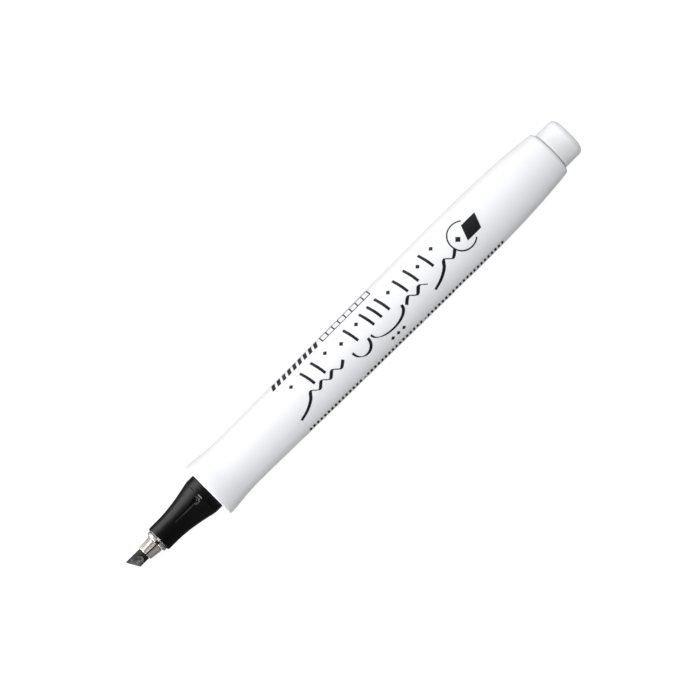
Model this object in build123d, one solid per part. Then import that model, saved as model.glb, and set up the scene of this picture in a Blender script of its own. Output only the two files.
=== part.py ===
from build123d import *
import math
import os

# Calligraphy marker with a chisel fibre nib, uncapped, lying on its side.
# Millimetres. Stations along the pen are measured back from the tip of the nib, and
# radii from the pen's axis. The pen is drawn with its axis on X and is moved at the
# end, so that the middle of its underside sits at the origin, with +Z up.

# Driving dimensions of the outside
LENGTH = 137.6
NIB_DIA = 3.0
NIB_SLANT = 30.0
RING_R = 2.69
NOSE_R = 3.19
COLLAR_R = 4.71
MOUTH_R = 7.16
BELLY_R = 7.28
TAIL_RIM_R = 5.88
TAIL_HEAD_R = 4.94

# Stations along the pen
FERRULE_FRONT = 4.5
RING_FRONT = 7.87
NOSE_FACE = 8.74
COLLAR_FRONT = 22.05
MOUTH = 24.25
RESERVOIR_FRONT = 35.0
RESERVOIR_BACK = 117.0
TAIL_RIM = 131.8

# Fits between pieces that move against each other
RUNNING = 0.05
SEAT_GAP = 0.02

# Sockets inside the barrel
RECESS_R = COLLAR_R + RUNNING
RECESS_FLOOR = MOUTH + 0.3
SOCKET_R = 4.40
SOCKET_BACK = 34.6
CAVITY_R = 4.70
EDGE_BREAK = 0.2

# Fibre reservoir and what goes with it
CORE_R = 4.25
FILM = 0.15
BREATHER_R = 0.60
BREATHER_BORE_R = 0.35
BREATHER_DROP = 3.2

# Nib and the parts that hold it
NIB_R = NIB_DIA / 2
NIB_BACK = 37.0
NIB_BORE_R = NIB_R + RUNNING
HOLDER_BORE_R = 2.22
HOLDER_R = HOLDER_BORE_R - SEAT_GAP
FERRULE_BACK = 15.0
THROAT_FRONT = 22.0
THROAT_R = 3.3

# Air vents round the front section, and flutes rolled into the ferrule's cone
VENTS = 3
VENT_TURN = -4.0
FLUTES = 12
KEY_WIDTH = 0.76
KEY_BACK = NOSE_FACE + 0.38


def turned(outline):
    """Spin a closed outline of lines, given as station and radius, about the axis."""
    return revolve(make_face(outline), Axis.X)


def rod(radius, front, back):
    """A plain round bar between two stations."""
    return turned(Polyline((front, 0), (front, radius), (back, radius), (back, 0), close=True))


def tube(outer, inner, front, back):
    """A plain round tube between two stations."""
    corners = [(front, inner), (front, outer), (back, outer), (back, inner)]
    return turned(Polyline(*corners, close=True))


def around(shape, count):
    """Copies of a shape spread evenly round the axis, the first where it is drawn."""
    return [Rot(X=360 / count * turn) * shape for turn in range(count)]


def circles_at(shape, station, radius):
    """The round edges of a shape at one station and radius."""
    found = []
    for edge in shape.edges().filter_by(GeomType.CIRCLE):
        centre = edge.arc_center
        if abs(centre.X - station) < 0.01 and abs(edge.radius - radius) < 0.01:
            found.append(edge)
    return found


def make_barrel():
    """One moulding: a flared mouth, a waist, a long belly and a tapered tail."""
    outside = Spline(
        (MOUTH, MOUTH_R),
        (25.4, 7.19),
        (28.6, 6.86),
        (32.8, 6.60),
        (38.0, 6.59),
        (60.0, 6.89),
        (84.0, 7.12),
        (105.0, BELLY_R),
        (119.4, 6.94),
        (TAIL_RIM, TAIL_RIM_R),
    )
    inside = Polyline(
        (TAIL_RIM, TAIL_RIM_R),
        (TAIL_RIM, CAVITY_R + EDGE_BREAK),
        (TAIL_RIM - EDGE_BREAK, CAVITY_R),
        (SOCKET_BACK, CAVITY_R),
        (SOCKET_BACK, SOCKET_R),
        (RECESS_FLOOR, SOCKET_R),
        (RECESS_FLOOR, RECESS_R),
        (MOUTH, RECESS_R),
        (MOUTH, MOUTH_R),
    )
    barrel = turned(outside + inside)
    barrel = fillet(circles_at(barrel, MOUTH, MOUTH_R), 0.3)
    barrel = fillet(circles_at(barrel, TAIL_RIM, TAIL_RIM_R), 0.85)
    rib_length = 83
    rib = Pos(RESERVOIR_FRONT + rib_length / 2, 0, CAVITY_R) * Box(rib_length, 0.8, 0.5)
    for one in around(rib, 6):
        barrel = barrel + one
    return barrel


def make_tail_plug():
    """A moulded cup: a round head on the barrel's rim and a ribbed spigot inside it."""
    front = TAIL_RIM - 10.6
    spigot_r = CAVITY_R - 0.1
    hollow_r = 3.4
    hollow_back = LENGTH - 2.5
    head_front = TAIL_RIM + SEAT_GAP
    outline = Polyline(
        (front, hollow_r),
        (front, spigot_r - 0.3),
        (front + 0.6, spigot_r),
        (head_front, spigot_r),
        (head_front, TAIL_HEAD_R - EDGE_BREAK),
        (head_front + EDGE_BREAK, TAIL_HEAD_R),
        (LENGTH, TAIL_HEAD_R),
        (LENGTH, 0),
        (hollow_back, 0),
        (hollow_back, hollow_r),
        close=True,
    )
    plug = turned(outline)
    plug = fillet(circles_at(plug, LENGTH, TAIL_HEAD_R), 1.35)
    for station in (front + 2, front + 5, front + 8):
        plug = plug + tube(CAVITY_R - RUNNING, hollow_r, station, station + 0.8)
    web_front = RESERVOIR_BACK + 1.6
    web_length = hollow_back - web_front + 0.2
    web = Pos(web_front + web_length / 2, 0, 0) * Box(web_length, 2 * hollow_r + 0.4, 0.9)
    for one in (web, Rot(X=90) * web):
        plug = plug + one
    return plug


def vent_cutter():
    """One air vent: a shallow groove that deepens up the flare to a wide, sloping head."""
    groove_r = 0.46
    groove_front = 14.2
    groove_back = 20.73
    front_height = 3.25 + groove_r
    back_height = 3.95 + groove_r
    run = groove_back - groove_front
    rise = back_height - front_height
    length = math.hypot(run, rise)
    pitch = -math.degrees(math.atan2(rise, run))
    bar = Cylinder(groove_r, length, rotation=(0, 90, 0))
    ends = Pos(-length / 2, 0, 0) * Sphere(groove_r) + Pos(length / 2, 0, 0) * Sphere(groove_r)
    middle = Pos(groove_front + run / 2, 0, (front_height + back_height) / 2)
    groove = middle * Rot(Y=pitch) * (bar + ends)
    head_slope = math.radians(38)
    head_depth = 0.38
    spare = 0.25
    head_height = head_depth + spare
    head_top_r = groove_r + head_height / math.tan(head_slope)
    flare_slope = 12.6
    head_surface = 4.40
    head = Pos(0, 0, head_height / 2 - head_depth) * Cone(groove_r, head_top_r, head_height)
    return groove + Pos(groove_back, 0, head_surface) * Rot(Y=-flare_slope) * head


def collar_facet_cutter():
    """A sloping nick across the line between flare and collar, behind each vent."""
    facet_slope = 38
    length = 0.58
    height = 0.8
    top_of_facet = Pos(COLLAR_FRONT + 0.17, 0, COLLAR_R)
    return top_of_facet * Rot(Y=-facet_slope) * Pos(-length / 2, 0, height / 2) * Box(length, 1.3, height)


def make_front_section():
    """The black nose: a straight grip for the ferrule, a flare, and the cap's seat."""
    flare_front = 12.0
    flare_back = COLLAR_FRONT - 0.2
    flare_r = COLLAR_R - 0.05
    line_depth = 0.09
    stop_r = 4.50
    back = 34.4
    spigot_r = SOCKET_R - 0.13
    flare = Spline(
        (flare_front, NOSE_R),
        (15.7, 3.48),
        (19.0, 4.03),
        (flare_back, flare_r),
        tangents=[(1, 0.02), (1, 0.235)],
    )
    rest = Polyline(
        (flare_back, flare_r),
        (COLLAR_FRONT - 0.08, flare_r - line_depth),
        (COLLAR_FRONT, COLLAR_R),
        (MOUTH - SEAT_GAP, COLLAR_R),
        (MOUTH - SEAT_GAP, stop_r),
        (RECESS_FLOOR - SEAT_GAP, stop_r),
        (RECESS_FLOOR - SEAT_GAP, spigot_r),
        (back - 0.4, spigot_r),
        (back, spigot_r - 0.3),
        (back, THROAT_R),
        (THROAT_FRONT, THROAT_R),
        (THROAT_FRONT, HOLDER_BORE_R),
        (NOSE_FACE, HOLDER_BORE_R),
        (NOSE_FACE, NOSE_R),
        (flare_front, NOSE_R),
    )
    section = turned(flare + rest)
    section = fillet(circles_at(section, NOSE_FACE, NOSE_R), 0.5)
    for station in (28.4, 30.4, 32.4):
        section = section + tube(SOCKET_R - RUNNING, spigot_r - 0.1, station, station + 0.8)
    # The slots in the face take the ferrule's keys, which stop it turning in the nose.
    slot_length = 0.6
    slot = Pos(KEY_BACK + SEAT_GAP - slot_length / 2, 0, NOSE_R) * Box(
        slot_length, KEY_WIDTH + 2 * RUNNING, 2 * (NOSE_R - HOLDER_BORE_R) + 0.4
    )
    for cutter in (vent_cutter(), collar_facet_cutter()):
        for one in around(Rot(X=VENT_TURN) * cutter, VENTS):
            section = section - one
    for one in around(slot, VENTS):
        section = section - one
    return section


def flute_cutter():
    """A bar that presses one shallow flute into the cone, deeper towards the ring."""
    flute_r = 1.35
    front_floor = 1.8
    back_floor = 2.13
    front = FERRULE_FRONT - 0.6
    back = RING_FRONT - 0.27
    slope = (back_floor - front_floor) / (RING_FRONT - FERRULE_FRONT)
    middle_floor = front_floor + slope * ((front + back) / 2 - FERRULE_FRONT)
    bar = Cylinder(flute_r, back - front, rotation=(0, 90, 0))
    tilt = math.degrees(math.atan(slope))
    return Pos((front + back) / 2, 0, middle_floor + flute_r) * Rot(Y=-tilt) * bar


def make_ferrule():
    """A turned and plated metal collar that grips the nib and presses into the nose."""
    cone_front_r = 1.89
    cone_back_r = 2.33
    neck_r = 2.08
    cone_back = RING_FRONT - 0.35
    ring_back = NOSE_FACE - 0.05
    outline = Polyline(
        (FERRULE_FRONT, NIB_BORE_R),
        (FERRULE_FRONT, cone_front_r - 0.06),
        (FERRULE_FRONT + 0.12, cone_front_r),
        (cone_back, cone_back_r),
        (cone_back + 0.05, neck_r),
        (RING_FRONT - 0.12, neck_r),
        (RING_FRONT, 2.5),
        (RING_FRONT + 0.12, RING_R),
        (ring_back - 0.12, RING_R),
        (ring_back, RING_R - 0.12),
        (ring_back, HOLDER_R),
        (FERRULE_BACK - 0.3, HOLDER_R),
        (FERRULE_BACK, HOLDER_R - 0.2),
        (FERRULE_BACK, NIB_BORE_R),
        close=True,
    )
    ferrule = turned(outline)
    for one in around(flute_cutter(), FLUTES):
        ferrule = ferrule - one
    # Air enters through notches in the ring. Behind each one a key stands in the nose.
    notch_length = 0.9
    notch_floor = 2.05
    notch = Pos(RING_FRONT + 0.73 - notch_length / 2, 0, notch_floor + 0.5) * Box(notch_length, 0.7, 1.0)
    for one in around(Rot(X=3) * notch, VENTS):
        ferrule = ferrule - one
    key_front = ring_back - 0.1
    key_low = HOLDER_R - 0.2
    key_high = 2.86
    key = Pos((key_front + KEY_BACK) / 2, 0, (key_low + key_high) / 2) * Box(
        KEY_BACK - key_front, KEY_WIDTH, key_high - key_low
    )
    for one in around(key, VENTS):
        ferrule = ferrule + one
    return ferrule


def make_nib():
    """A bonded fibre rod, ground to a wedge whose edge crosses the pen at a slant."""
    half_edge = 0.33
    wedge_angle = 27.0
    reach = 45.0
    slant = math.radians(NIB_SLANT)
    across_edge = (math.cos(slant), math.sin(slant), 0)
    along_edge = (math.sin(slant), -math.cos(slant), 0)
    spread = half_edge + reach * math.tan(math.radians(wedge_angle))
    side = Plane(origin=(0, NIB_R, 0), x_dir=across_edge, z_dir=along_edge)
    corners = [(0, -half_edge), (reach, -spread), (reach, spread), (0, half_edge)]
    wedge = extrude(side * make_face(Polyline(*corners, close=True)), reach, both=True)
    end_taper = 0.7
    outline = Polyline(
        (-1, 0),
        (-1, NIB_R),
        (NIB_BACK - end_taper, NIB_R),
        (NIB_BACK, NIB_R - end_taper),
        (NIB_BACK, 0),
        close=True,
    )
    return turned(outline) & wedge


def make_nib_sleeve():
    """A fluted plastic sleeve that centres the nib in the nose and lets air pass it."""
    front = FERRULE_BACK + 0.2
    back = 33.6
    outline = Polyline(
        (front, NIB_BORE_R),
        (front, HOLDER_R),
        (THROAT_FRONT + 0.1, HOLDER_R),
        (THROAT_FRONT + 0.1, THROAT_R - SEAT_GAP),
        (back, THROAT_R - SEAT_GAP),
        (back, NIB_BORE_R),
        close=True,
    )
    sleeve = turned(outline)
    flute_length = back - THROAT_FRONT + 2
    flute = Pos((THROAT_FRONT + back) / 2, 0, THROAT_R) * Cylinder(
        0.7, flute_length, rotation=(0, 90, 0)
    )
    for one in around(flute, 6):
        sleeve = sleeve - one
    return sleeve


def make_ink_reservoir():
    """A rod of bundled fibres, with a socket for the nib and a bore for the breather."""
    core = rod(CORE_R, RESERVOIR_FRONT, RESERVOIR_BACK)
    core = core - rod(NIB_BORE_R, RESERVOIR_FRONT - 1, NIB_BACK + 0.5)
    bore = rod(BREATHER_R + SEAT_GAP, RESERVOIR_FRONT - 1, RESERVOIR_BACK + 1)
    return core - Pos(0, 0, -BREATHER_DROP) * bore


def make_reservoir_wrap():
    """Plastic film rolled round the fibres, a little longer than they are."""
    return tube(CORE_R + FILM, CORE_R, RESERVOIR_FRONT - 0.2, RESERVOIR_BACK + 0.4)


def make_breather_tube():
    """A thin tube along the fibres, open at both ends, that lets air into the back."""
    pipe = tube(BREATHER_R, BREATHER_BORE_R, RESERVOIR_FRONT - 0.2, RESERVOIR_BACK + 1.2)
    return Pos(0, 0, -BREATHER_DROP) * pipe


pieces = {
    "barrel": make_barrel(),
    "tail_plug": make_tail_plug(),
    "front_section": make_front_section(),
    "ferrule": make_ferrule(),
    "nib": make_nib(),
    "nib_sleeve": make_nib_sleeve(),
    "ink_reservoir": make_ink_reservoir(),
    "reservoir_wrap": make_reservoir_wrap(),
    "breather_tube": make_breather_tube(),
}

os.makedirs("parts", exist_ok=True)
lowest = pieces["barrel"].bounding_box().min.Z
for name, piece in pieces.items():
    export_step(Pos(-LENGTH / 2, 0, -lowest) * piece, f"parts/{name}.step")
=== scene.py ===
import math

import bmesh
import bpy
from mathutils import Matrix, Vector, noise
from mathutils.bvhtree import BVHTree


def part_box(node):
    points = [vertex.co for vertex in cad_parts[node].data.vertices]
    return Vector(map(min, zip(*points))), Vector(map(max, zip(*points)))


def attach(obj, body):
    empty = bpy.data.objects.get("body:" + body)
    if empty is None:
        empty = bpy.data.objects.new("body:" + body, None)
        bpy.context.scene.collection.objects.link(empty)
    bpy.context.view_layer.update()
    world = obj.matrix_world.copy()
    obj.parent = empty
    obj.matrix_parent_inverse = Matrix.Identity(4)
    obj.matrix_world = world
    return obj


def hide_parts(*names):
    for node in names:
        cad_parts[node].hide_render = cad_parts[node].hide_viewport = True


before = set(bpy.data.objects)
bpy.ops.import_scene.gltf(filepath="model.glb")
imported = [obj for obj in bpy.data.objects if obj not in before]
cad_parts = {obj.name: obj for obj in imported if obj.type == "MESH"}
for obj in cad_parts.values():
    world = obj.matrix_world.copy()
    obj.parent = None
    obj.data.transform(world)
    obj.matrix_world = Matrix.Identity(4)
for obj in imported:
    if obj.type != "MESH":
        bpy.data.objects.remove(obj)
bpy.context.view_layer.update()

# ---------------------------------------------------------------------------
# Barrel. The casing is one injection moulding in white polypropylene, thick
# walled, with a flared mouth and a tapered tail. The mould is spark eroded,
# which leaves a fine even grain, so the white looks satin rather than glossy.
# ---------------------------------------------------------------------------
MM = 0.001
MIX_A, MIX_B, MIX_OUT = 6, 7, 2
BARREL_LIGHT = "#F0F0F4"
BARREL_DARK = "#E9EAEE"
# Painted shade: a grey band where the plug meets the barrel's rim stands in for the shadow in the gap.
JOINT_SHADE_GREY = "#BABAB8"
JOINT_SHADE_REACH = 0.4 * MM


def linear(hex_colour):
    """An sRGB hex colour as the linear RGBA that shaders take."""
    parts = [int(hex_colour[i : i + 2], 16) / 255 for i in (1, 3, 5)]
    rgb = [p / 12.92 if p <= 0.04045 else ((p + 0.055) / 1.055) ** 2.4 for p in parts]
    return (*rgb, 1.0)


def new_material(name):
    """An empty node material and its tree."""
    material = bpy.data.materials.new(name)
    material.use_nodes = True
    material.node_tree.nodes.clear()
    return material, material.node_tree


def add(tree, kind, inputs=None, **settings):
    """Adds a node. An input is a plain value, or another node's socket to link from."""
    made = tree.nodes.new(kind)
    for name, value in settings.items():
        setattr(made, name, value)
    for key, value in (inputs or {}).items():
        if isinstance(value, bpy.types.NodeSocket):
            tree.links.new(value, made.inputs[key])
        else:
            made.inputs[key].default_value = value
    return made


def finish_with(piece, material):
    """Gives a piece one material all over."""
    piece.data.materials.clear()
    piece.data.materials.append(material)


def white_polypropylene(name, light, dark, shaded_joint_x=None):
    """Satin moulded plastic: slow flow shading, a fine grain and a soft inner glow.

    A narrow band round it at one station, where another piece begins, may be painted grey as shade in the
    joint.
    """
    material, tree = new_material(name)
    place = add(tree, "ShaderNodeTexCoord").outputs["Object"]
    flow = add(tree, "ShaderNodeTexNoise", {"Vector": place, "Scale": 1 / (14 * MM), "Detail": 2.0})
    # The eroded grain is 0.05 mm on the real casing and drawn at 0.35 mm, so that it shows.
    grain = add(tree, "ShaderNodeTexNoise", {"Vector": place, "Scale": 1 / (0.35 * MM), "Detail": 3.0})
    colour = add(
        tree,
        "ShaderNodeMix",
        {0: flow.outputs["Fac"], MIX_A: linear(dark), MIX_B: linear(light)},
        data_type="RGBA",
    )
    # Painted shade: a narrow grey band at this station stands in for the shadow in the joint.
    if shaded_joint_x is not None:
        along = add(tree, "ShaderNodeSeparateXYZ", {"Vector": place}).outputs["X"]
        past = add(tree, "ShaderNodeMath", {0: along, 1: shaded_joint_x}, operation="SUBTRACT")
        off = add(tree, "ShaderNodeMath", {0: past.outputs["Value"]}, operation="ABSOLUTE")
        joint_shade_band = add(
            tree,
            "ShaderNodeMapRange",
            {"Value": off.outputs["Value"], "From Min": JOINT_SHADE_REACH, "From Max": JOINT_SHADE_REACH / 2},
        )
        colour = add(
            tree,
            "ShaderNodeMix",
            {0: joint_shade_band.outputs["Result"], MIX_A: colour.outputs[MIX_OUT], MIX_B: linear(JOINT_SHADE_GREY)},
            data_type="RGBA",
        )
    rough = add(
        tree, "ShaderNodeMapRange", {"Value": flow.outputs["Fac"], "To Min": 0.36, "To Max": 0.46}
    )
    bump = add(
        tree,
        "ShaderNodeBump",
        {"Height": grain.outputs["Fac"], "Distance": 0.012 * MM, "Strength": 0.5},
    )
    skin = add(
        tree,
        "ShaderNodeBsdfPrincipled",
        {
            "Base Color": colour.outputs[MIX_OUT],
            "Roughness": rough.outputs["Result"],
            "Normal": bump.outputs["Normal"],
            "IOR": 1.49,
            "Subsurface Weight": 0.12,
            "Subsurface Radius": (1.0, 1.0, 1.0),
            "Subsurface Scale": 0.6 * MM,
        },
    )
    add(tree, "ShaderNodeOutputMaterial", {"Surface": skin.outputs["BSDF"]})
    return material


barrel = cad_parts["barrel"]
finish_with(barrel, white_polypropylene("moulded_white_polypropylene", BARREL_LIGHT, BARREL_DARK))

# ---------------------------------------------------------------------------
# Print on the barrel. One pass of black pad-printing ink, a few hundredths of
# a millimetre thick. It has plain figures and no lettering: blocks, ticks,
# broad-pen practice strokes, and an open ring with a sample of a broad stroke.
# ---------------------------------------------------------------------------
INK_BLACK = "#0C0C0F"
INK_WORN = "#1B1C20"
INK_TOP = 0.03 * MM
INK_FOOT = -0.01 * MM
PRINT_STEP = 0.3
low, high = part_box("barrel")
axis_height = (low.z + high.z) / 2
tip_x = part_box("nib")[0].x

material, tree = new_material("pad_printed_black_ink")
place = add(tree, "ShaderNodeTexCoord").outputs["Object"]
# The film's own mottling is near 0.1 mm, and is drawn at 0.4 mm so that it shows.
mottle = add(tree, "ShaderNodeTexNoise", {"Vector": place, "Scale": 1 / (0.4 * MM), "Detail": 3.0})
colour = add(
    tree,
    "ShaderNodeMix",
    {0: mottle.outputs["Fac"], MIX_A: linear(INK_BLACK), MIX_B: linear(INK_WORN)},
    data_type="RGBA",
)
rough = add(tree, "ShaderNodeMapRange", {"Value": mottle.outputs["Fac"], "To Min": 0.42, "To Max": 0.6})
skin = add(
    tree,
    "ShaderNodeBsdfPrincipled",
    {"Base Color": colour.outputs[MIX_OUT], "Roughness": rough.outputs["Result"], "IOR": 1.48},
)
add(tree, "ShaderNodeOutputMaterial", {"Surface": skin.outputs["BSDF"]})
ink_material = material

barrel_copy = bmesh.new()
barrel_copy.from_mesh(barrel.data)
barrel_skin = BVHTree.FromBMesh(barrel_copy)
barrel_copy.free()


def on_barrel(along, round_arc, lift):
    """The point on the barrel at a distance from the nib's tip and round from its top, in mm."""
    x = tip_x + along * MM
    angle = round_arc / MEAN_RADIUS
    outward = Vector((0, math.sin(angle), math.cos(angle)))
    axis_point = Vector((x, 0, axis_height))
    hit = barrel_skin.ray_cast(axis_point + outward * 0.02, -outward)[0]
    return hit + outward * lift


def ink_patch(build, edges):
    """Adds a closed, thin patch of ink. Each row gives the two edges of a stroke there."""
    across = max(math.ceil(math.dist(left, right) / PRINT_STEP) for left, right in edges)
    sheets = []
    for lift in (INK_TOP, INK_FOOT):
        sheet = []
        for left, right in edges:
            row = []
            for k in range(across + 1):
                part = k / across
                between = [a + (b - a) * part for a, b in zip(left, right)]
                row.append(build.verts.new(on_barrel(*between, lift)))
            sheet.append(row)
        sheets.append(sheet)
    top, foot = sheets
    for sheet in sheets:
        for here, there in zip(sheet, sheet[1:]):
            for k in range(across):
                build.faces.new((here[k], here[k + 1], there[k + 1], there[k]))
    for upper, lower in ((top[0], foot[0]), (top[-1], foot[-1])):
        for k in range(across):
            build.faces.new((upper[k], upper[k + 1], lower[k + 1], lower[k]))
    for k in (0, across):
        for row in range(len(edges) - 1):
            build.faces.new((top[row][k], top[row + 1][k], foot[row + 1][k], foot[row][k]))


def smooth_path(points):
    """A Catmull-Rom curve through given points, at the print's step."""
    ends = [points[0]] + list(points) + [points[-1]]
    path = []
    for a, b, c, d in zip(ends, ends[1:], ends[2:], ends[3:]):
        steps = max(2, round(math.dist(b, c) / PRINT_STEP))
        for step in range(steps):
            t = step / steps
            path.append(
                tuple(
                    b[i]
                    + 0.5 * t * (c[i] - a[i])
                    + t * t * (a[i] - 2.5 * b[i] + 2 * c[i] - 0.5 * d[i])
                    + t**3 * (1.5 * (b[i] - c[i]) + 0.5 * (d[i] - a[i]))
                    for i in (0, 1)
                )
            )
    path.append(tuple(points[-1]))
    return path


def pen_stroke(build, points, nib_width, nib_angle, hair=0.16):
    """A stroke of a broad pen held at one angle: wide across its edge, thin along it."""
    path = smooth_path(points)
    edges = []
    for i, here in enumerate(path):
        before, after = path[max(i - 1, 0)], path[min(i + 1, len(path) - 1)]
        heading = math.atan2(after[1] - before[1], after[0] - before[0])
        half = (hair + nib_width * abs(math.sin(heading - nib_angle))) / 2
        side = (-math.sin(heading) * half, math.cos(heading) * half)
        edges.append(((here[0] + side[0], here[1] + side[1]), (here[0] - side[0], here[1] - side[1])))
    ink_patch(build, edges)


def slab(build, start, end, low_edge, high_edge, lean=0.0):
    """A block of ink between two stations and two heights, leaning if asked."""
    count = max(2, round((end - start) / PRINT_STEP))
    xs = [start + (end - start) * i / count for i in range(count + 1)]
    ink_patch(build, [((x + lean, high_edge), (x, low_edge)) for x in xs])


def pen_dot(build, x, y, size):
    """A square dot set on its corner, as a broad pen makes it."""
    half = size / 2
    widths = (0.02, 0.5, 1.0, 0.5, 0.02)
    edges = []
    for k, width in enumerate(widths):
        at = x - half + size * k / (len(widths) - 1)
        edges.append(((at, y + half * width), (at, y - half * width)))
    ink_patch(build, edges)


def printed(name, build):
    """Makes a printed figure from its ink and lets it ride on the barrel."""
    bmesh.ops.recalc_face_normals(build, faces=build.faces)
    mesh = bpy.data.meshes.new(name)
    build.to_mesh(mesh)
    build.free()
    piece = bpy.data.objects.new(name, mesh)
    bpy.context.scene.collection.objects.link(piece)
    finish_with(piece, ink_material)
    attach(piece, "barrel")


MEAN_RADIUS = 7.0
PEN_ANGLE = math.radians(35)

# A band of plain blocks runs high on the far side, and beside it a band of thin ticks.
build = bmesh.new()
BAND_LOW, BAND_HIGH = 6.5, 9.0
for k in range(9):
    x = 49.9 + 1.65 * k
    slab(build, x, x + 0.95, BAND_LOW, BAND_HIGH, lean=0.6)
for y in (BAND_LOW, BAND_HIGH - 0.25):
    slab(build, 65.5, 80.6, y, y + 0.25)
for k in range(9):
    x = 65.5 + 1.85 * k
    slab(build, x, x + 0.3, BAND_LOW, BAND_HIGH)
printed("upper_bands", build)

# The large figures are exercises for a broad pen, in three regular runs. Each run has a
# sweep or a bowl, then even waves, with slanted uprights and square dots above them.
build = bmesh.new()
WAVE_PITCH = 3.3
WAVE_HEIGHT = 1.1
for start, waves in ((49.9, 3), (91.4, 1)):
    points = [(start, -3.9), (start + 2.4, -3.1), (start + 4.6, -1.8)]
    for k in range(2 * waves + 1):
        crest = WAVE_HEIGHT * ((k + 1) % 2)
        points.append((start + 6.0 + WAVE_PITCH / 2 * k, -1.5 + crest))
    pen_stroke(build, points, 0.6, -PEN_ANGLE)
for start, width in ((68.3, 4.8), (74.0, 9.6)):
    bowl = []
    for k in range(9):
        turn = math.pi * k / 8
        bowl.append((start + width * (1 - math.cos(turn)) / 2, -0.9 - 2.6 * math.sin(turn)))
    pen_stroke(build, bowl, 0.55, -PEN_ANGLE)
points = [(84.4 + WAVE_PITCH / 2 * k, -1.7 + WAVE_HEIGHT * (k % 2)) for k in range(5)]
pen_stroke(build, points, 0.62, -PEN_ANGLE)
UPRIGHT_TOP, UPRIGHT_FOOT = 4.5, 0.2
for x in (57.4, 60.7, 70.9, 75.9, 78.3, 80.7, 86.4, 89.7, 94.4):
    points = ((x - 0.5, UPRIGHT_TOP), (x + 0.05, 2.0), (x + 0.3, UPRIGHT_FOOT))
    pen_stroke(build, points, 0.5, PEN_ANGLE / 2)
DOTS_ABOVE = (
    (53.4, 3.6),
    (64.0, 3.6),
    (68.0, 2.4),
    (73.4, 3.2),
    (83.4, 3.2),
    (92.1, 2.6),
    (97.0, 3.4),
)
for x, y in DOTS_ABOVE:
    pen_dot(build, x, y, 1.15)
for x in (77.2, 78.9, 80.6):
    pen_dot(build, x, -5.3, 1.05)
printed("practice_strokes", build)

# A thin ring, open on one side, with a sample of one broad stroke through the gap.
build = bmesh.new()
RING_X, RING_Y, RING_RADIUS, RING_LINE = 103.9, 0.6, 3.3, 0.34
ring = []
for k in range(97):
    angle = math.radians(48 + 264 * k / 96)
    outer, inner = RING_RADIUS + RING_LINE / 2, RING_RADIUS - RING_LINE / 2
    point = (math.cos(angle), math.sin(angle))
    ring.append(
        (
            (RING_X + outer * point[0], RING_Y + outer * point[1]),
            (RING_X + inner * point[0], RING_Y + inner * point[1]),
        )
    )
ink_patch(build, ring)
slab(build, RING_X + 0.2, RING_X + 4.4, RING_Y - 1.7, RING_Y + 1.7, lean=1.3)
pen_dot(build, RING_X - 1.2, RING_Y, 1.5)
printed("stroke_sample_ring", build)

# A row of fine ticks, low on the near side, in three groups parted by dots.
build = bmesh.new()
for first, count in ((49.9, 15), (67.6, 16), (86.4, 22)):
    for k in range(count):
        x = first + 1.1 * k
        slab(build, x, x + 0.55, -9.6, -8.0)
for x in (66.9, 85.7):
    pen_dot(build, x, -8.8, 0.7)
printed("lower_ticks", build)

# ---------------------------------------------------------------------------
# Ink reservoir with its film and breather tube. The rod is a bundle of crimped
# polyester fibres soaked with black ink, wrapped in clear film, and the tube
# is natural polyethylene. They show only when the nose or the plug is out.
# ---------------------------------------------------------------------------
SOAKED_FIBRE = "#17181B"
DRY_FIBRE = "#34363B"
CLEAR_FILM = "#DDE3E8"
NATURAL_TUBE = "#E4E2DA"


def inked_fibre(name, dark, light, thread_mm, long_mm):
    """Bundled fibres that run along the pen, dark with ink and a little uneven."""
    material, tree = new_material(name)
    place = add(tree, "ShaderNodeTexCoord").outputs["Object"]
    drawn = add(
        tree,
        "ShaderNodeMapping",
        {"Vector": place, "Scale": (1 / (long_mm * MM), 1 / (thread_mm * MM), 1 / (thread_mm * MM))},
    )
    thread = add(tree, "ShaderNodeTexNoise", {"Vector": drawn.outputs["Vector"], "Scale": 1.0})
    colour = add(
        tree,
        "ShaderNodeMix",
        {0: thread.outputs["Fac"], MIX_A: linear(dark), MIX_B: linear(light)},
        data_type="RGBA",
    )
    bump = add(
        tree,
        "ShaderNodeBump",
        {"Height": thread.outputs["Fac"], "Distance": 0.05 * MM, "Strength": 0.8},
    )
    skin = add(
        tree,
        "ShaderNodeBsdfPrincipled",
        {
            "Base Color": colour.outputs[MIX_OUT],
            "Roughness": 0.82,
            "Normal": bump.outputs["Normal"],
            "Sheen Weight": 0.25,
            "Sheen Roughness": 0.5,
        },
    )
    add(tree, "ShaderNodeOutputMaterial", {"Surface": skin.outputs["BSDF"]})
    return material


def extruded_plastic(name, hex_colour, rough, alpha, draw_mm):
    """Extruded plastic with faint draw lines along its length."""
    material, tree = new_material(name)
    place = add(tree, "ShaderNodeTexCoord").outputs["Object"]
    drawn = add(
        tree,
        "ShaderNodeMapping",
        {"Vector": place, "Scale": (1 / (20 * MM), 1 / (draw_mm * MM), 1 / (draw_mm * MM))},
    )
    lines = add(tree, "ShaderNodeTexNoise", {"Vector": drawn.outputs["Vector"], "Scale": 1.0})
    rough_map = add(
        tree,
        "ShaderNodeMapRange",
        {"Value": lines.outputs["Fac"], "To Min": rough - 0.06, "To Max": rough + 0.08},
    )
    bump = add(
        tree,
        "ShaderNodeBump",
        {"Height": lines.outputs["Fac"], "Distance": 0.01 * MM, "Strength": 0.4},
    )
    skin = add(
        tree,
        "ShaderNodeBsdfPrincipled",
        {
            "Base Color": linear(hex_colour),
            "Roughness": rough_map.outputs["Result"],
            "Normal": bump.outputs["Normal"],
            "Alpha": alpha,
            "IOR": 1.5,
        },
    )
    add(tree, "ShaderNodeOutputMaterial", {"Surface": skin.outputs["BSDF"]})
    return material


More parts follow.
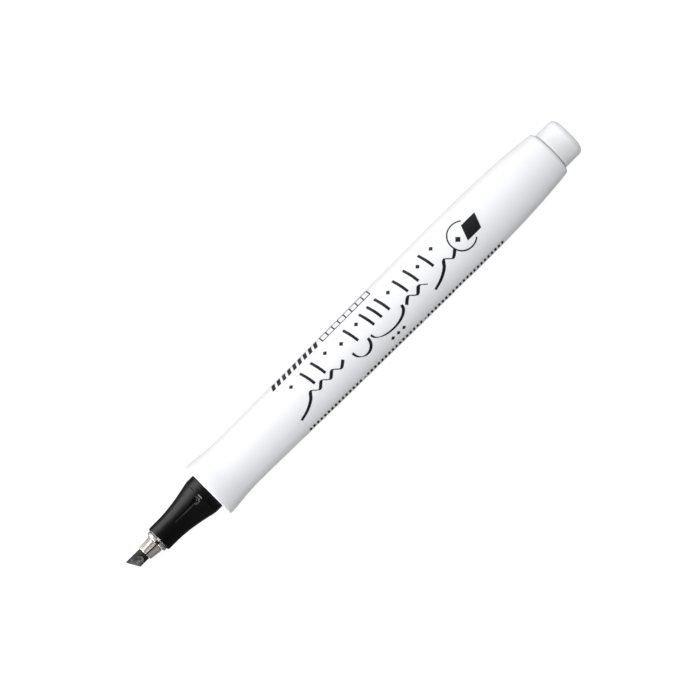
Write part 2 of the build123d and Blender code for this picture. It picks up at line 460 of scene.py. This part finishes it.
fibre_material = inked_fibre("ink_soaked_polyester_fibre", SOAKED_FIBRE, DRY_FIBRE, 0.25, 6.0)
finish_with(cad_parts["ink_reservoir"], fibre_material)
finish_with(
    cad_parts["reservoir_wrap"],
    extruded_plastic("clear_polyethylene_film", CLEAR_FILM, 0.25, 0.45, 0.8),
)
finish_with(
    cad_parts["breather_tube"],
    extruded_plastic("extruded_natural_polyethylene", NATURAL_TUBE, 0.4, 1.0, 0.2),
)

# ---------------------------------------------------------------------------
# Front section. The nose is a black ABS moulding with air channels sunk in its
# flare, pushed into the barrel. Its mould is polished, and the shine is broad
# because the polish isn't perfect.
# ---------------------------------------------------------------------------
NOSE_BLACK = "#030304"
NOSE_DUSTY = "#060607"

material, tree = new_material("moulded_black_abs")
place = add(tree, "ShaderNodeTexCoord").outputs["Object"]
drawn = add(tree, "ShaderNodeMapping", {"Vector": place, "Scale": (1 / (5 * MM), 1 / MM, 1 / MM)})
haze = add(tree, "ShaderNodeTexNoise", {"Vector": drawn.outputs["Vector"], "Scale": 1.0, "Detail": 4.0})
colour = add(
    tree,
    "ShaderNodeMix",
    {0: haze.outputs["Fac"], MIX_A: linear(NOSE_BLACK), MIX_B: linear(NOSE_DUSTY)},
    data_type="RGBA",
)
rough = add(tree, "ShaderNodeMapRange", {"Value": haze.outputs["Fac"], "To Min": 0.28, "To Max": 0.4})
ripple = add(
    tree, "ShaderNodeBump", {"Height": haze.outputs["Fac"], "Distance": 0.02 * MM, "Strength": 0.25}
)
skin = add(
    tree,
    "ShaderNodeBsdfPrincipled",
    {
        "Base Color": colour.outputs[MIX_OUT],
        "Roughness": rough.outputs["Result"],
        "Normal": ripple.outputs["Normal"],
        "IOR": 1.5,
    },
)
add(tree, "ShaderNodeOutputMaterial", {"Surface": skin.outputs["BSDF"]})
finish_with(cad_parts["front_section"], material)

# ---------------------------------------------------------------------------
# Ferrule. A brass collar, turned, fluted and nickel plated. The draw of the
# fluting leaves fine streaks along it, and the nickel is faintly warm.
# ---------------------------------------------------------------------------
NICKEL = "#E3DDD8"
NICKEL_STREAK = "#C9C1BB"
# Painted shade: this near black is painted into the ring's notches and along one flute's edge.
PAINTED_SHADE_BLACK = "#101012"
SHADE_LINE_TURN = 13.5
SHADE_LINE_WIDTH = 11.0
NOTCH_RIM = 2.5 * MM
NOTCH_FLOOR = 2.35 * MM
RING_START = 7.7 * MM
METAL_OUT_OF_SHADE = 0.72
METAL_IN_PAINTED_SHADE = 0.1

material, tree = new_material("nickel_plated_brass")
place = add(tree, "ShaderNodeTexCoord").outputs["Object"]
drawn = add(
    tree, "ShaderNodeMapping", {"Vector": place, "Scale": (1 / (6 * MM), 1 / (0.3 * MM), 1 / (0.3 * MM))}
)
streak = add(tree, "ShaderNodeTexNoise", {"Vector": drawn.outputs["Vector"], "Scale": 1.0, "Detail": 3.0})
colour = add(
    tree,
    "ShaderNodeMix",
    {0: streak.outputs["Fac"], MIX_A: linear(NICKEL_STREAK), MIX_B: linear(NICKEL)},
    data_type="RGBA",
)
# Painted shade: the notches of the base ring and a thin line beside one flute are painted near black and
# less metallic. This stands in for the shade and dark reflection there.
from_tip = add(tree, "ShaderNodeMapping", {"Vector": place, "Location": (-tip_x, 0, -axis_height)})
part = add(tree, "ShaderNodeSeparateXYZ", {"Vector": from_tip.outputs["Vector"]})
turn = add(tree, "ShaderNodeMath", {0: part.outputs["Y"], 1: part.outputs["Z"]}, operation="ARCTAN2")
from_line = add(
    tree, "ShaderNodeMath", {0: turn.outputs["Value"], 1: math.radians(SHADE_LINE_TURN)}, operation="ADD"
)
off_line = add(tree, "ShaderNodeMath", {0: from_line.outputs["Value"]}, operation="ABSOLUTE")
line = add(
    tree,
    "ShaderNodeMapRange",
    {
        "Value": off_line.outputs["Value"],
        "From Min": math.radians(SHADE_LINE_WIDTH / 2),
        "From Max": math.radians(SHADE_LINE_WIDTH / 2 - 2),
    },
)
across = add(tree, "ShaderNodeMapping", {"Vector": from_tip.outputs["Vector"], "Scale": (0, 1, 1)})
radius = add(tree, "ShaderNodeVectorMath", {0: across.outputs["Vector"]}, operation="LENGTH")
low_down = add(
    tree,
    "ShaderNodeMapRange",
    {"Value": radius.outputs["Value"], "From Min": NOTCH_RIM, "From Max": NOTCH_FLOOR},
)
at_ring = add(
    tree,
    "ShaderNodeMapRange",
    {"Value": part.outputs["X"], "From Min": RING_START, "From Max": RING_START + 0.08 * MM},
)
in_notch = add(
    tree,
    "ShaderNodeMath",
    {0: low_down.outputs["Result"], 1: at_ring.outputs["Result"]},
    operation="MULTIPLY",
)
painted_shade_mask = add(
    tree,
    "ShaderNodeMath",
    {0: in_notch.outputs["Value"], 1: line.outputs["Result"]},
    operation="MAXIMUM",
)
# Painted shade: where the mask is set, the nickel turns near black and loses most of its metal shine.
metal_left = add(
    tree,
    "ShaderNodeMapRange",
    {"Value": painted_shade_mask.outputs["Value"], "To Min": METAL_OUT_OF_SHADE, "To Max": METAL_IN_PAINTED_SHADE},
)
colour = add(
    tree,
    "ShaderNodeMix",
    {0: painted_shade_mask.outputs["Value"], MIX_A: colour.outputs[MIX_OUT], MIX_B: linear(PAINTED_SHADE_BLACK)},
    data_type="RGBA",
)
rough = add(tree, "ShaderNodeMapRange", {"Value": streak.outputs["Fac"], "To Min": 0.3, "To Max": 0.42})
scored = add(
    tree, "ShaderNodeBump", {"Height": streak.outputs["Fac"], "Distance": 0.01 * MM, "Strength": 0.5}
)
skin = add(
    tree,
    "ShaderNodeBsdfPrincipled",
    {
        "Base Color": colour.outputs[MIX_OUT],
        "Metallic": metal_left.outputs["Result"],
        "Roughness": rough.outputs["Result"],
        "Normal": scored.outputs["Normal"],
    },
)
add(tree, "ShaderNodeOutputMaterial", {"Surface": skin.outputs["BSDF"]})
finish_with(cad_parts["ferrule"], material)

# ---------------------------------------------------------------------------
# Nib sleeve. A small fluted moulding in natural polyacetal inside the nose.
# It is waxy and off-white, and shows only at the back of the nose.
# ---------------------------------------------------------------------------
SLEEVE_WHITE = "#E2E0D8"
finish_with(
    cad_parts["nib_sleeve"],
    extruded_plastic("moulded_natural_polyacetal", SLEEVE_WHITE, 0.35, 1.0, 0.3),
)

# ---------------------------------------------------------------------------
# Nib. A bar of bonded acrylic fibres, soaked with black ink. Its end is ground
# to a chisel edge that slants across the pen. Grinding cuts the fibres, so the
# two ground faces look rough and grey, while the round sides stay black.
# ---------------------------------------------------------------------------
NIB_ROUND = "#09090A"
NIB_FIBRE = "#1B1B1D"
GROUND_DARK = "#060607"
GROUND_LIGHT = "#565658"
NIB_SIDES = 168
EDGE_HALF = 0.33
WEDGE_SLOPE = math.tan(math.radians(27))
EDGE_SLANT = math.radians(30)
FIBRE_RELIEF = 0.03
GRIND_RELIEF = 0.045
CORNER_WEAR = 0.16
WORN_WIDTH = 0.5

low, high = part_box("nib")
nib_radius = (high.y - low.y) / 2 / MM
nib_length = (high.x - low.x) / MM
nib_end_taper = 0.7


def nib_ring(behind_edge):
    """One ring of the nib in mm. It is parallel to the slanted edge until the grinding ends."""
    half_height = EDGE_HALF + behind_edge * math.cos(EDGE_SLANT) * WEDGE_SLOPE
    to_back = nib_length - behind_edge
    radius = nib_radius - max(0.0, nib_end_taper - to_back)
    upright = min(1.0, max(0.0, (behind_edge - 4.0) / 6.0))
    ring = []
    for k in range(NIB_SIDES):
        turn = 2 * math.pi * k / NIB_SIDES
        y, z = math.cos(turn), math.sin(turn)
        fibre = noise.noise((y * 7.0, z * 7.0, behind_edge * 0.35))
        fibre += 0.5 * noise.noise((y * 15.0, z * 15.0, behind_edge * 0.8))
        near_front = min(1.0, max(0.0, (16 - behind_edge) / 4))
        reach = radius - FIBRE_RELIEF * near_front * (0.3 + 0.7 * fibre)
        y, z = reach * y, reach * z
        x = behind_edge + (nib_radius - y) * math.tan(EDGE_SLANT) * (1 - upright)
        into_corner = max(0.0, 1 - (nib_radius - y) / WORN_WIDTH)
        x += CORNER_WEAR * into_corner**2 * max(0.0, 1 - behind_edge / 1.5)
        if abs(z) > half_height:
            pit = noise.noise((x * 4.0, y * 4.0, 3.0)) + 0.6 * noise.noise((x * 9.0, y * 9.0, 8.0))
            z = math.copysign(half_height - GRIND_RELIEF * max(0.0, 0.25 + pit), z)
        ring.append(Vector((tip_x + x * MM, y * MM, axis_height + z * MM)))
    return ring


build = bmesh.new()
stations = [0.05 * k for k in range(90)]
stations += [4.5 + 0.5 * k for k in range(int((nib_length - nib_end_taper - 4.5) / 0.5))]
stations += [nib_length - nib_end_taper, nib_length]
rings = [[build.verts.new(point) for point in nib_ring(station)] for station in stations]
for here, there in zip(rings, rings[1:]):
    for k in range(NIB_SIDES):
        after = (k + 1) % NIB_SIDES
        build.faces.new((here[k], here[after], there[after], there[k]))
build.faces.new(list(reversed(rings[0])))
build.faces.new(rings[-1])
bmesh.ops.recalc_face_normals(build, faces=build.faces)
mesh = bpy.data.meshes.new("fibre_nib")
build.to_mesh(mesh)
build.free()
mesh.polygons.foreach_set("use_smooth", [True] * len(mesh.polygons))
mesh.set_sharp_from_angle(angle=math.radians(35))
fibre_nib = bpy.data.objects.new("fibre_nib", mesh)
bpy.context.scene.collection.objects.link(fibre_nib)

material, tree = new_material("bonded_acrylic_fibre_with_ink")
coordinates = add(tree, "ShaderNodeTexCoord")
place = coordinates.outputs["Object"]
# Fibres are 0.02 mm thick. They are drawn 0.2 mm apart along the bar, so that they show.
drawn = add(
    tree,
    "ShaderNodeMapping",
    {"Vector": place, "Scale": (1 / (3 * MM), 1 / (0.2 * MM), 1 / (0.2 * MM))},
)
thread = add(tree, "ShaderNodeTexNoise", {"Vector": drawn.outputs["Vector"], "Scale": 1.0, "Detail": 3.0})
round_colour = add(
    tree,
    "ShaderNodeMix",
    {0: thread.outputs["Fac"], MIX_A: linear(NIB_ROUND), MIX_B: linear(NIB_FIBRE)},
    data_type="RGBA",
)
# Cut fibre ends and burrs on the ground faces are drawn in patches 0.9 mm across.
speck = add(tree, "ShaderNodeTexNoise", {"Vector": place, "Scale": 1 / (0.9 * MM), "Detail": 4.0})
sharper = add(
    tree, "ShaderNodeMapRange", {"Value": speck.outputs["Fac"], "From Min": 0.4, "From Max": 0.62}
)
ground_colour = add(
    tree,
    "ShaderNodeMix",
    {0: sharper.outputs["Result"], MIX_A: linear(GROUND_DARK), MIX_B: linear(GROUND_LIGHT)},
    data_type="RGBA",
)
facing = add(tree, "ShaderNodeSeparateXYZ", {"Vector": coordinates.outputs["Normal"]})
is_ground = add(
    tree, "ShaderNodeMapRange", {"Value": facing.outputs["X"], "From Min": -0.1, "From Max": -0.3}
)
colour = add(
    tree,
    "ShaderNodeMix",
    {
        0: is_ground.outputs["Result"],
        MIX_A: round_colour.outputs[MIX_OUT],
        MIX_B: ground_colour.outputs[MIX_OUT],
    },
    data_type="RGBA",
)
bump = add(
    tree,
    "ShaderNodeBump",
    {"Height": speck.outputs["Fac"], "Distance": 0.03 * MM, "Strength": 0.6},
)
skin = add(
    tree,
    "ShaderNodeBsdfPrincipled",
    {
        "Base Color": colour.outputs[MIX_OUT],
        "Roughness": 0.6,
        "Normal": bump.outputs["Normal"],
    },
)
add(tree, "ShaderNodeOutputMaterial", {"Surface": skin.outputs["BSDF"]})
finish_with(fibre_nib, material)
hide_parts("nib")
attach(fibre_nib, "nib")

# ---------------------------------------------------------------------------
# Tail plug. A cup in the same white polypropylene as the barrel, moulded on
# its own and pressed in, so its white is a little different.
# ---------------------------------------------------------------------------
PLUG_LIGHT = "#EEEEF1"
PLUG_DARK = "#E6E7EA"
rim_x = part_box("barrel")[1].x
# Painted shade: the plug's white is painted grey in a narrow band at the barrel's rim, for the shadow in
# the joint.
plug_material = white_polypropylene(
    "moulded_white_polypropylene_plug", PLUG_LIGHT, PLUG_DARK, shaded_joint_x=rim_x
)
finish_with(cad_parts["tail_plug"], plug_material)

# ---------------------------------------------------------------------------
# The room: a pale floor that glows a little, as a light table does, a soft
# overhead light, fills and a soft box at the sides, and strips off the nib end.
# ---------------------------------------------------------------------------
FLOOR_SPAN = 3.0
FLOOR_DROP = -0.05 * MM
mesh = bpy.data.meshes.new("floor")
corners = [
    (x * FLOOR_SPAN, y * FLOOR_SPAN, FLOOR_DROP) for x, y in ((-1, -1), (1, -1), (1, 1), (-1, 1))
]
mesh.from_pydata(corners, [], [(0, 1, 2, 3)])
floor = bpy.data.objects.new("floor", mesh)
bpy.context.scene.collection.objects.link(floor)
material, tree = new_material("pale_floor")
skin = add(
    tree,
    "ShaderNodeBsdfPrincipled",
    {
        "Base Color": (0.18, 0.18, 0.18, 1),
        "Roughness": 1.0,
        "Specular IOR Level": 0.0,
        "Emission Color": (1, 1, 1, 1),
        "Emission Strength": 0.9,
    },
)
add(tree, "ShaderNodeOutputMaterial", {"Surface": skin.outputs["BSDF"]})
finish_with(floor, material)
floor.visible_glossy = False
floor.visible_shadow = False

world = bpy.data.worlds.new("studio")
bpy.context.scene.world = world
world.use_nodes = True
world.node_tree.nodes["Background"].inputs["Color"].default_value = (1, 1, 1, 1)
world.node_tree.nodes["Background"].inputs["Strength"].default_value = 0.06


def soft_box(name, place, aim, width, depth, power, in_reflections):
    """A rectangular area light that faces a point."""
    lamp = bpy.data.lights.new(name, "AREA")
    lamp.shape = "RECTANGLE"
    lamp.size = width
    lamp.size_y = depth
    lamp.energy = power
    holder = bpy.data.objects.new(name, lamp)
    bpy.context.scene.collection.objects.link(holder)
    holder.location = place
    holder.rotation_mode = "QUATERNION"
    holder.rotation_quaternion = (Vector(aim) - Vector(place)).to_track_quat("-Z", "Y")
    holder.visible_glossy = in_reflections
    return holder


pen_middle = (0, 0, axis_height)
soft_box("key_above", (0, 0.25, 0.9), pen_middle, 0.8, 0.6, 8.7, False)
soft_box("side_fill", (0, 0.685, 0.145), pen_middle, 1.3, 0.57, 1.2, False)
streak_box = soft_box("side_reflection", (0, 0.68, 0.18), pen_middle, 1.3, 0.7, 5.3, True)
streak_box.visible_diffuse = False
soft_box("far_fill", (0, -0.6, 0.4), pen_middle, 0.8, 0.6, 0.3, False)
soft_box("front_strip", (-0.75, 0.08, 0.2), (-0.06, 0, axis_height), 0.6, 0.22, 4.2, True)
# A strip level with the table top catches the steep back walls of the air channels.
low_strip = soft_box("table_strip", (-0.6, 0.1, -0.13), (-0.048, 0, axis_height), 1.2, 0.14, 11.0, True)
low_strip.visible_diffuse = False
# A small card beside the camera is mirrored by the ferrule alone, as its plating is polished.
metal_only = bpy.data.collections.new("metal_only")
metal_only.objects.link(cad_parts["ferrule"])
card = soft_box("ferrule_card", (-0.06, 0.05, 0.8), (-0.06, 0, axis_height), 0.25, 0.25, 0.4, True)
card.light_linking.receiver_collection = metal_only

# The camera looks down at the pen's broad face from above its front end.
PEN_TILT = math.radians(44.73)
CAMERA_HEIGHT = 0.85
LENS = 196.15
camera_data = bpy.data.cameras.new("camera")
camera_data.lens = LENS
camera_data.sensor_width = 36.0
camera_data.clip_start = 0.05
camera_data.clip_end = 20.0
camera = bpy.data.objects.new("camera", camera_data)
bpy.context.scene.collection.objects.link(camera)
bpy.context.scene.camera = camera
above = Vector((-0.045, 0, axis_height + CAMERA_HEIGHT))
aim = Vector((0, 0, axis_height))
forward = (aim - above).normalized()
up_hint = Vector((math.sin(PEN_TILT), math.cos(PEN_TILT), 0))
right = forward.cross(up_hint).normalized()
up = right.cross(forward)
facing = Matrix((right, up, -forward)).transposed().to_4x4()
camera.matrix_world = Matrix.Translation(above) @ facing

bpy.context.scene.view_settings.view_transform = "Standard"
